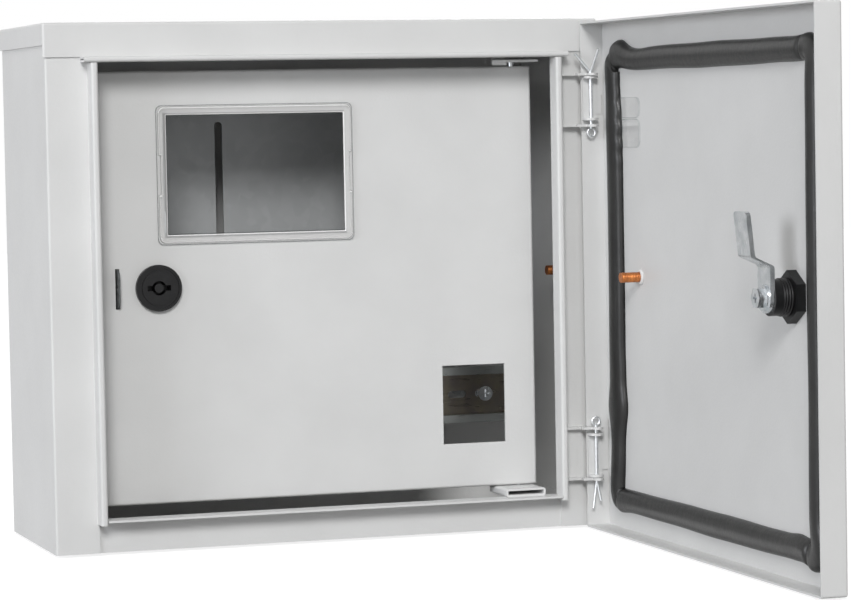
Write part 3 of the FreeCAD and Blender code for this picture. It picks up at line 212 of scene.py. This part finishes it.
def yellowZinc():
    # Yellow passivated zinc: straw to violet-grey bloom, with painted shade keeping the recessed trough
    # darker and painted light making the front flanges paler and greyer
    look = {
        "pale": "#857f70", "deep": "#77706e", "flange": "#a3a6a4", "metal": 0.9, "rough": (0.26, 0.34),
        "cloud": (9.0, 3.0), "streak": (1.5, 2.0, (0.1, 1, 1)), "grain": (0.8, 2.0), "relief": (0.004, 0.2),
        "trough": 2.5, "border": 0.5,
    }
    material, tree, place = newMaterial("yellowPassivatedZinc")
    cloud = noise(tree, place, *look["cloud"])
    streak = noise(tree, place, *look["streak"])
    grain = noise(tree, place, *look["grain"])
    trough = nodeBox("din_rail")[0][1] + look["trough"] * mm
    depth = addNode(tree, "ShaderNodeSeparateXYZ", None, {"Vector": place}).outputs["Y"]
    # Painted light and shade: the front flanges take a paler grey and the recessed trough keeps the darker
    # tone, as if in shade
    paintedLitFlange = spread(tree, depth, 1.0, 0.0, trough, trough + look["border"] * mm)
    colour = blendColour(tree, paintedLitFlange, drift(tree, look, cloud), look["flange"])
    opaque(tree, look, colour, streak, bump(tree, grain, *look["relief"]))
    return material


def dullSteel():
    # Unpainted steel of the latch, dark and soft in its sheen
    look = {
        "pale": "#5f6263", "deep": "#4e5152", "metal": 0.5, "rough": (0.45, 0.6),
        "cloud": (3.0, 3.0), "relief": (0.02, 0.3),
    }
    material, tree, place = newMaterial("dullSteel")
    cloud = noise(tree, place, *look["cloud"])
    opaque(tree, look, drift(tree, look, cloud), cloud, bump(tree, cloud, *look["relief"]))
    return material


def copperPlate():
    # Copper-plated stud: warm metal whose thread shows as fine rings along X
    look = {
        "pale": "#d98a4f", "deep": "#a9653a", "metal": 0.85, "rough": (0.3, 0.45),
        "cloud": (3.0, 3.0), "rings": 0.3142, "pitch": 1.0, "relief": (0.35, 0.8),
    }
    material, tree, place = newMaterial("copperPlate")
    rings = addNode(tree, "ShaderNodeTexWave", {"bands_direction": "X"}, {
        "Vector": place, "Scale": look["rings"] / (look["pitch"] * mm), "Distortion": 0.0,
    }).outputs["Fac"]
    cloud = noise(tree, place, *look["cloud"])
    opaque(tree, look, drift(tree, look, cloud), cloud, bump(tree, rings, *look["relief"]))
    return material


def blackNylon():
    # Moulded black plastic: near black with a fine spark-eroded grain
    look = {
        "pale": "#0e0e0f", "deep": "#171718", "specular": 0.3, "rough": (0.34, 0.48),
        "cloud": (6.0, 2.0), "grain": (0.5, 2.0), "relief": (0.04, 0.4),
    }
    material, tree, place = newMaterial("blackMouldedPlastic")
    grain = noise(tree, place, *look["grain"])
    cloud = noise(tree, place, *look["cloud"])
    opaque(tree, look, drift(tree, look, cloud), grain, bump(tree, grain, *look["relief"]))
    return material


def foamRubber():
    # Poured foam seal: charcoal skin with a soft broad highlight, low lumps and small pores
    look = {
        "pale": "#171717", "deep": "#242423", "specular": 0.4, "rough": (0.3, 0.44),
        "cloud": (16.0, 4.0), "lump": (5.0, 2.0), "pore": (0.8, 2.0),
        "lumpRelief": (0.35, 0.5), "poreRelief": (0.05, 0.5),
    }
    material, tree, place = newMaterial("foamSealSkin")
    pores = noise(tree, place, *look["pore"])
    cloud = noise(tree, place, *look["cloud"])
    lumps = bump(tree, noise(tree, place, *look["lump"]), *look["lumpRelief"])
    opaque(tree, look, drift(tree, look, cloud), pores, bump(tree, pores, *look["poreRelief"], lumps))
    return material


def grommetRubber():
    # Moulded rubber: dark grey and dull, with a chalky bloom
    look = {
        "pale": "#2f3031", "deep": "#434546", "rough": (0.6, 0.8),
        "cloud": (8.0, 4.0), "grain": (0.6, 2.0), "relief": (0.05, 0.5),
    }
    material, tree, place = newMaterial("mouldedGreyRubber")
    cloud = noise(tree, place, *look["cloud"])
    grain = noise(tree, place, *look["grain"])
    opaque(tree, look, drift(tree, look, cloud), grain, bump(tree, grain, *look["relief"]))
    return material


def galvanisedSheet():
    # Galvanised sheet: grey metal in pale and dark crystals some millimetres across
    look = {
        "pale": "#bbbdbe", "deep": "#b2b4b5", "metal": 0.2, "rough": (0.46, 0.56, 0.0, 1.0),
        "crystal": 6.0, "grain": (2.0, 2.0), "relief": (0.03, 0.4),
    }
    material, tree, place = newMaterial("galvanisedSheet")
    crystal = addNode(tree, "ShaderNodeTexVoronoi", None, {
        "Vector": place, "Scale": 1 / (look["crystal"] * mm), "Randomness": 1.0,
    })
    tone = addNode(tree, "ShaderNodeRGBToBW", None, {"Color": crystal.outputs["Color"]}).outputs["Val"]
    grain = noise(tree, place, *look["grain"])
    colour = blendColour(tree, tone, look["pale"], look["deep"])
    opaque(tree, look, colour, tone, bump(tree, grain, *look["relief"]))
    return material


def roundedEdge(tree):
    # One on rounded edges, where no axis of the piece is square to the surface, and nought on its faces
    lean = {"rounded": 0.94, "flat": 0.995}
    turn = addNode(tree, "ShaderNodeSeparateXYZ", None, {
        "Vector": addNode(tree, "ShaderNodeTexCoord").outputs["Normal"],
    })
    sizes = [maths(tree, "ABSOLUTE", turn.outputs[axis]) for axis in "XYZ"]
    most = maths(tree, "MAXIMUM", maths(tree, "MAXIMUM", sizes[0], sizes[1]), sizes[2])
    return spread(tree, most, 1.0, 0.0, lean["rounded"], lean["flat"])


def clearPlastic(tree, place, look, paintedEdgeShade, pale=None):
    # Seen through, bright where looked at along its faces, darker on an outline as painted shade, and milky
    # where pale, the pale input also carrying any painted highlight
    flow = {
        "cloud": (10.0, 4.0), "line": (1.6, 3.0, (1, 1, 0.2)), "relief": (0.05, 0.25),
        "rough": (0.04, 0.14), "glancing": 4.0, "scuffed": (0.5, 0.75),
    }
    cloud = noise(tree, place, *flow["cloud"])
    lines = noise(tree, place, *flow["line"])
    ripples = bump(tree, cloud, *flow["relief"])
    facing = addNode(tree, "ShaderNodeLayerWeight", None, {"Blend": 0.5, "Normal": ripples}).outputs["Facing"]
    # Painted shade: the see-through tint turns to the darker edge colour on the outline
    clear = addNode(tree, "ShaderNodeBsdfTransparent", None, {
        "Color": blendColour(tree, paintedEdgeShade, look["tint"], look["edge"]),
    })
    shine = addNode(tree, "ShaderNodeBsdfGlossy", None, {
        "Color": linear("#ffffff"), "Roughness": spread(tree, lines, *flow["rough"]), "Normal": ripples,
    })
    veil = addNode(tree, "ShaderNodeBsdfDiffuse", None, {"Color": linear(look["milk"])})
    glassy = blendShaders(tree, maths(tree, "POWER", facing, flow["glancing"]), clear, shine)
    haze = spread(tree, cloud, *look["haze"], *flow["scuffed"])
    # The pale input adds the milky veil and, on the window, the painted highlight along the bead
    if pale is not None:
        haze = maths(tree, "ADD", haze, pale)
    surface(tree, blendShaders(tree, haze, glassy, veil))


def clearWindow():
    # Clear moulding: a clean pane, a milky rim and skirt, a dark outline of painted shade and a painted
    # highlight along the bead
    # The edge colour is the tint of the painted shade on the outline
    look = {
        "tint": "#fcfcfc", "edge": "#cdd0d0", "milk": "#f8f7f6", "haze": (0.001, 0.006),
        "rim": 5.9, "rimBorder": 0.3, "rimMilk": 0.28, "bead": 0.8, "beadBorder": 0.1, "paintedBeadHighlight": 0.8,
    }
    material, tree, place = newMaterial("clearMouldedWindow")
    low, high = nodeBox("meter_window")
    at = addNode(tree, "ShaderNodeSeparateXYZ", None, {"Vector": place})
    sides = []
    for axis in (0, 2):
        away = maths(tree, "SUBTRACT", at.outputs[axis], (low[axis] + high[axis]) / 2)
        pane = (high[axis] - low[axis]) / 2 - look["rim"] * mm
        far = maths(tree, "ABSOLUTE", away)
        sides.append(spread(tree, far, 0.0, look["rimMilk"], pane, pane + look["rimBorder"] * mm))
    bead = low[1] + look["bead"] * mm
    front = spread(tree, at.outputs["Y"], 1.0, 0.0, bead, bead + look["beadBorder"] * mm)
    edge = roundedEdge(tree)
    frontEdge = maths(tree, "MULTIPLY", edge, front)
    # Painted highlight: a pale veil along the rounded front edges of the bead
    paintedBeadHighlight = maths(tree, "MULTIPLY", frontEdge, look["paintedBeadHighlight"])
    # Painted shade: the other rounded edges take the darker edge tint
    paintedEdgeShade = maths(tree, "SUBTRACT", edge, frontEdge)
    rim = maths(tree, "MAXIMUM", sides[0], sides[1])
    milky = maths(tree, "MULTIPLY", rim, maths(tree, "SUBTRACT", 1.0, paintedEdgeShade))
    clearPlastic(tree, place, look, paintedEdgeShade, maths(tree, "ADD", paintedBeadHighlight, milky))
    return material


def clearGel():
    # Soft clear pads: nearly unseen, with a faint outline of painted shade
    look = {"tint": "#fefefe", "edge": "#f2f4f4", "milk": "#f4f5f5", "haze": (0.01, 0.04)}
    material, tree, place = newMaterial("clearGelPad")
    clearPlastic(tree, place, look, roundedEdge(tree))
    return material


finishes = {
    "grey_powder_coat": powderCoat(),
    "zinc_steel": brightZinc(),
    "passivated_steel": yellowZinc(),
    "dull_steel": dullSteel(),
    "copper_plate": copperPlate(),
    "black_nylon": blackNylon(),
    "foam_rubber": foamRubber(),
    "grommet_rubber": grommetRubber(),
    "clear_moulding": clearWindow(),
    "clear_gel": clearGel(),
    "galvanised_sheet": galvanisedSheet(),
}
for part in frame["record"]["subparts"]:
    mesh = frame["nodes"][part["node"]].data
    mesh.materials.clear()
    mesh.materials.append(finishes[part["material_slot"]])
# The hinge pins take the paler copy of the zinc, painted light
litPinWire = paintedLitPinWire()
for name in ("upper_hinge_pin", "lower_hinge_pin"):
    frame["nodes"][name].data.materials[0] = litPinWire


def roundMoulding(name):
    # Edges of a clear moulding rounded, once the faces that meet there are joined
    edge = {"join": 0.001, "width": 0.5, "segments": 3, "sharpest": 50}
    weld = frame["nodes"][name].modifiers.new("joinedFaces", "WELD")
    weld.merge_threshold = edge["join"] * mm
    soften = frame["nodes"][name].modifiers.new("roundedEdges", "BEVEL")
    soften.width = edge["width"] * mm
    soften.use_clamp_overlap = False
    soften.segments = edge["segments"]
    soften.limit_method = "ANGLE"
    soften.angle_limit = math.radians(edge["sharpest"])


roundMoulding("meter_window")
roundMoulding("clear_pads")
print("stage: finishes on the CAD pieces")


def turnOutwards(mesh):
    # Flips a closed mesh of quads whose faces enclose less than nothing
    corners = np.empty(len(mesh.vertices) * 3)
    mesh.vertices.foreach_get("co", corners)
    quads = np.empty(len(mesh.loops), dtype=np.int32)
    mesh.loops.foreach_get("vertex_index", quads)
    a, b, c, d = np.moveaxis(corners.reshape(-1, 3)[quads.reshape(-1, 4)], 1, 0)
    if (a * (np.cross(b, c) + np.cross(c, d))).sum() < 0:
        mesh.flip_normals()


def gridObject(name, points, slotName, body):
    # A grid of points in millimetres as quads, closed along and across
    rows, columns = points.shape[:2]
    i = np.arange(rows)[:, None]
    j = np.arange(columns)[None, :]
    i2 = (i + 1) % rows
    j2 = (j + 1) % columns
    faces = np.stack([i * columns + j, i2 * columns + j, i2 * columns + j2, i * columns + j2], axis=-1)
    mesh = bpy.data.meshes.new(name)
    mesh.from_pydata((points * mm).reshape(-1, 3).tolist(), [], faces.reshape(-1, 4).tolist())
    mesh.polygons.foreach_set("use_smooth", np.ones(len(mesh.polygons), dtype=bool))
    mesh.materials.append(finishes[slotName])
    mesh.update()
    turnOutwards(mesh)
    piece = bpy.data.objects.new(name, mesh)
    bpy.context.scene.collection.objects.link(piece)
    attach(piece, body)
    return piece


def gasketStrip():
    # Foam seal: a low half-ellipse carried round a rectangle with rounded corners on the door's
    # inside, its width, height and sideways place each a plain value plus a few soft swellings
    strip = {
        "half": 6.75, "corner": 7.0, "slack": 0.35, "blunt": 0.85, "steps": 1800, "around": 26,
        "broad": 2.6, "broadReach": 0.48, "pleat": 0.4, "pleatRate": 0.6, "pleatBefore": 45, "pleatReach": 26,
        "sway": [(0.15, 0.031, 0.0), (0.12, 0.083, 1.0)], "heave": [(0.15, 0.047, 2.0)],
    }
    low, high = (corner / mm for corner in nodeBox("door_gasket"))
    base, tallest = high[0], high[0] - low[0]
    freeY, hingeY = low[1] + strip["half"], high[1] - strip["half"]
    bottomZ, topZ = low[2] + strip["half"], high[2] - strip["half"]
    r = strip["corner"]
    long, tall = hingeY - freeY - 2 * r, topZ - bottomZ - 2 * r
    quarter = math.pi * r / 2
    total = 2 * (long + tall) + 4 * quarter
    s = np.linspace(0, total, strip["steps"], endpoint=False)
    y, z, outY, outZ = (np.empty_like(s) for k in range(4))
    # Straight runs in travelling order, each with a quarter turn after it: start, direction, length
    legs = [
        (hingeY - r, topZ, -1, 0, long),
        (freeY, topZ - r, 0, -1, tall),
        (freeY + r, bottomZ, 1, 0, long),
        (hingeY, bottomZ + r, 0, 1, tall),
    ]
    start = 0.0
    starts = []
    for startY, startZ, goY, goZ, run in legs:
        starts.append(start)
        on = (s >= start) & (s < start + run)
        y[on] = startY + goY * (s[on] - start)
        z[on] = startZ + goZ * (s[on] - start)
        # Outwards is the direction of travel turned by a quarter
        outY[on] = goZ
        outZ[on] = -goY
        turn = (s >= start + run) & (s < start + run + quarter)
        angle = (s[turn] - start - run) / r
        outY[turn] = goZ * np.cos(angle) + goY * np.sin(angle)
        outZ[turn] = -goY * np.cos(angle) + goZ * np.sin(angle)
        y[turn] = startY + goY * run + (outY[turn] - goZ) * r
        z[turn] = startZ + goZ * run + (outZ[turn] + goY) * r
        start += run + quarter
    top, free, bottom, hinge = starts

    def waves(terms):
        # Sum of sine waves along the strip, each a size, a rate and a start
        return sum(size * np.sin(s * rate + begin) for size, rate, begin in terms)

    def bell(at, wide):
        # One at a place along the strip, falling softly to nought on both sides
        away = (s - at + total / 2) % total - total / 2
        return np.exp(-(away / wide) ** 2)

    # Place along the strip, reach, extra half width, outward shift, extra height
    swellings = [
        (top + 5, 12, 1.8, 3.4, 0.0),
        (top + 36, 13, -0.4, -0.4, 0.0),
        (top + 150, 60, 0.5, 0.2, -0.2),
        (free - 6, 12, 0.5, 1.4, -0.3),
        (bottom - 6, 9, 1.6, 3.2, 0.0),
        (bottom + 18, 9, 0.6, -0.4, -0.2),
        (bottom + 120, 70, 0.6, -0.2, 0.0),
        (hinge - 6, 14, 0.6, 0.8, 0.0),
        (hinge + 49, 11, 3.4, 0.6, 0.3),
        (hinge + 72, 9, 0.6, 0.2, -0.2),
        (hinge + 28, 12, -0.8, 0.0, -0.2),
        (total - 24, 12, -0.6, 0.6, -0.3),
    ]
    # Butt joints at the corners: place along the strip, half width of the crease, its depth
    creases = [(total - 4, 1.6, 2.2), (hinge - 9, 1.4, 0.9), (bottom + 2, 1.6, 1.8), (free - 16, 1.6, 1.4)]
    half = np.full_like(s, strip["half"])
    shift = waves(strip["sway"])
    rise = tallest - strip["slack"] + waves(strip["heave"])
    for at, wide, fatter, outward, higher in swellings:
        half += fatter * bell(at, wide)
        shift += outward * bell(at, wide)
        rise += higher * bell(at, wide)
    # The run beside the hinges is wider than the others, towards the middle of the door
    height = topZ - bottomZ
    broad = strip["broad"] * np.exp(-((s - hinge - height / 2) / (strip["broadReach"] * height)) ** 8)
    half += broad
    shift -= broad
    rise = np.minimum(rise, tallest)
    for at, wide, deep in creases:
        rise -= deep * bell(at, wide)
    # Small pleats on the inner side near the end of the hinge run
    nearEnd = np.exp(-((s - total + strip["pleatBefore"]) / strip["pleatReach"]) ** 2)
    pleats = strip["pleat"] * np.sin(s * strip["pleatRate"]) * nearEnd
    around = np.linspace(0, 2 * math.pi, strip["around"], endpoint=False)
    side = np.cos(around)
    dome = np.clip(np.sin(around), 0, 1) ** strip["blunt"]
    across = shift[:, None] + half[:, None] * side - pleats[:, None] * np.clip(-side, 0, 1) ** 6
    points = np.empty((len(s), len(around), 3))
    points[..., 0] = base - rise[:, None] * dome
    points[..., 1] = y[:, None] + outY[:, None] * across
    points[..., 2] = z[:, None] + outZ[:, None] * across
    piece = gridObject("gasketStrip", points, "foam_rubber", "outer_door")
    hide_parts("door_gasket")


gasketStrip()
print("stage: gasket")


def lockThread(name, joint, lock):
    # Threaded sleeve of a lock: a radius that rises and falls once in each turn's pitch along
    # the axis, carried round the axis, its place along the axis shifted with the angle
    sleeve = {
        "radius": 9.8, "clear": 0.02, "wall": 0.4, "depth": 0.5, "pitch": 1.6, "runOut": 0.6,
        "rows": 10, "turn": 64,
    }
    turning = next(j for j in frame["record"]["behaviour"]["joints"] if j["name"] == joint)
    inward = -np.array(turning["axis"])
    sheetFace = np.array(turning["pos_m"]) / mm - lock["before"] * inward
    start, end = lock["reach"]
    along = np.linspace(start, end, int((end - start) / sleeve["pitch"] * sleeve["rows"]))[:, None]
    angle = np.linspace(0, 2 * math.pi, sleeve["turn"], endpoint=False)[None, :]
    wave = 0.5 + 0.5 * np.cos(2 * math.pi * (along / sleeve["pitch"]) - angle)
    ends = np.minimum(1, np.minimum(along - start, end - along) / sleeve["runOut"])
    outside = sleeve["radius"] + sleeve["clear"] + sleeve["depth"] * wave * ends
    inside = np.full_like(outside, sleeve["radius"] - sleeve["wall"])
    radius = np.concatenate([outside, inside])
    place = np.concatenate([along, along[::-1]])
    points = (
        sheetFace + place[..., None] * inward
        + (radius * np.cos(angle))[..., None] * np.array(lock["side"])
        + (radius * np.sin(angle))[..., None] * np.array((0, 0, 1))
    )
    gridObject(name, points, "black_nylon", turning["parent"])


# Face of the sheet before the joint's point, the way across, start and end of the thread behind the face
lockThread("doorLockThread", "door_lock_turn", {"before": 0.7, "side": (0, 1, 0), "reach": (6.8, 12.4)})
lockThread("panelLockThread", "panel_lock_turn", {"before": 0.0, "side": (1, 0, 0), "reach": (6.8, 10.4)})
print("stage: lock threads")


def studCollar(name, body, stud):
    # Paint built up round the foot of a stud: a low profile turned about an axis along X
    collar = {
        "radius": [4.95, 4.85, 4.5, 3.9, 3.3, 3.06, 3.06],
        "height": [0.02, 0.6, 1.05, 1.3, 1.4, 1.3, 0.02],
        "turn": 48,
    }
    low, high = (corner / mm for corner in nodeBox(stud))
    middle = (low + high) / 2
    angle = np.linspace(0, 2 * math.pi, collar["turn"], endpoint=False)[:, None]
    radius = np.array(collar["radius"])
    points = np.empty((collar["turn"], len(radius), 3))
    points[..., 0] = high[0] - np.array(collar["height"])
    points[..., 1] = middle[1] + radius * np.cos(angle)
    points[..., 2] = middle[2] + radius * np.sin(angle)
    gridObject(name, points, "grey_powder_coat", body)


studCollar("doorStudCollar", "outer_door", "door_earth_stud")
studCollar("bodyStudCollar", "enclosure", "body_earth_stud")
print("stage: stud collars")


def seenRays(tree):
    # One for rays that show the surroundings: straight to the camera, by reflection or through clear plastic
    path = addNode(tree, "ShaderNodeLightPath")
    factor = path.outputs["Is Camera Ray"]
    for name in ("Is Glossy Ray", "Is Transmission Ray"):
        factor = maths(tree, "MAXIMUM", factor, path.outputs[name])
    return factor


def studioFloor():
    # Pale floor at the lowest point, nearly white where it is seen and grey where it only throws light back
    ground = {
        "reach": 9.0, "shade": "#8f8f8f", "glow": 0.84, "bounce": "#b0b0b0",
        "grain": (30.0, 2.0), "rough": (0.96, 1.0),
    }
    half = ground["reach"] / 2
    level = firstBox[0][2]
    mesh = bpy.data.meshes.new("floor")
    corners = [(-half, -half, level), (half, -half, level), (half, half, level), (-half, half, level)]
    mesh.from_pydata(corners, [], [(0, 1, 2, 3)])
    material, tree, place = newMaterial("whiteStudioFloor")
    grain = spread(tree, noise(tree, place, *ground["grain"]), *ground["rough"])
    soft = addNode(tree, "ShaderNodeBsdfDiffuse", None, {
        "Color": linear(ground["shade"]), "Roughness": grain,
    })
    glow = addNode(tree, "ShaderNodeEmission", None, {
        "Color": linear("#ffffff"), "Strength": ground["glow"],
    })
    seen = addNode(tree, "ShaderNodeAddShader", None, {0: soft.outputs[0], 1: glow.outputs[0]})
    plain = addNode(tree, "ShaderNodeBsdfDiffuse", None, {"Color": linear(ground["bounce"])})
    surface(tree, blendShaders(tree, seenRays(tree), plain, seen))
    mesh.materials.append(material)
    floor = bpy.data.objects.new("floor", mesh)
    bpy.context.scene.collection.objects.link(floor)


def surroundings():
    # White where they are seen, dimmer where they only light the box
    air = {"seen": ("#ffffff", 1.0), "light": ("#fafafa", 0.3)}
    world = bpy.data.worlds.new("studio")
    bpy.context.scene.world = world
    world.use_nodes = True
    tree = world.node_tree
    tree.nodes.clear()
    white, dim = (
        addNode(tree, "ShaderNodeBackground", None, {"Color": linear(colour), "Strength": strength})
        for colour, strength in (air["seen"], air["light"])
    )
    both = blendShaders(tree, seenRays(tree), dim, white)
    addNode(tree, "ShaderNodeOutputWorld", None, {"Surface": both.outputs[0]})


def lamp(name, at, size, power, tone):
    # Round soft lamp turned to the middle of the box and its open door
    middle = Vector((0.05, -0.2, 0))
    light = bpy.data.lights.new(name, "AREA")
    light.shape = "DISK"
    light.size = size
    light.energy = power
    light.color = linear(tone)[:3]
    holder = bpy.data.objects.new(name, light)
    holder.location = at
    holder.rotation_euler = (middle - holder.location).to_track_quat("-Z", "Y").to_euler()
    bpy.context.scene.collection.objects.link(holder)


studioFloor()
surroundings()
lamp("key", at=(-1.7, -5.1, 2.9), size=1.9, power=212.0, tone="#ffffff")
lamp("left", at=(-3.7, -1.7, 0.8), size=1.6, power=62.0, tone="#f6f9ff")
lamp("back", at=(2.6, 4.8, 2.4), size=2.0, power=130.0, tone="#ffffff")
print("stage: studio")


def photoCamera():
    # Camera from the fit to the box's edges: yaw to the right, slightly down, a small roll
    fit = {
        "at": (-555.26, -2022.76, 94.84), "yaw": 0.3138, "pitch": -0.0543, "roll": -0.0184,
        "focalPixels": 3311.04, "widePixels": 851, "sensor": 36.0,
    }
    level = Vector((math.cos(fit["yaw"]), -math.sin(fit["yaw"]), 0))
    cosPitch = math.cos(fit["pitch"])
    ahead = Vector((math.sin(fit["yaw"]) * cosPitch, math.cos(fit["yaw"]) * cosPitch, math.sin(fit["pitch"])))
    upright = level.cross(ahead)
    right = math.cos(fit["roll"]) * level + math.sin(fit["roll"]) * upright
    up = -math.sin(fit["roll"]) * level + math.cos(fit["roll"]) * upright
    data = bpy.data.cameras.new("photoCamera")
    data.sensor_fit = "HORIZONTAL"
    data.sensor_width = fit["sensor"]
    data.lens = fit["focalPixels"] / fit["widePixels"] * fit["sensor"]
    data.clip_end = 50.0
    camera = bpy.data.objects.new("photoCamera", data)
    turn = Matrix((right, up, -ahead)).transposed().to_4x4()
    camera.matrix_world = Matrix.Translation(Vector(fit["at"]) * mm) @ turn
    bpy.context.scene.collection.objects.link(camera)
    bpy.context.scene.camera = camera
    bpy.context.scene.view_settings.view_transform = "Standard"


photoCamera()
print("stage: camera")
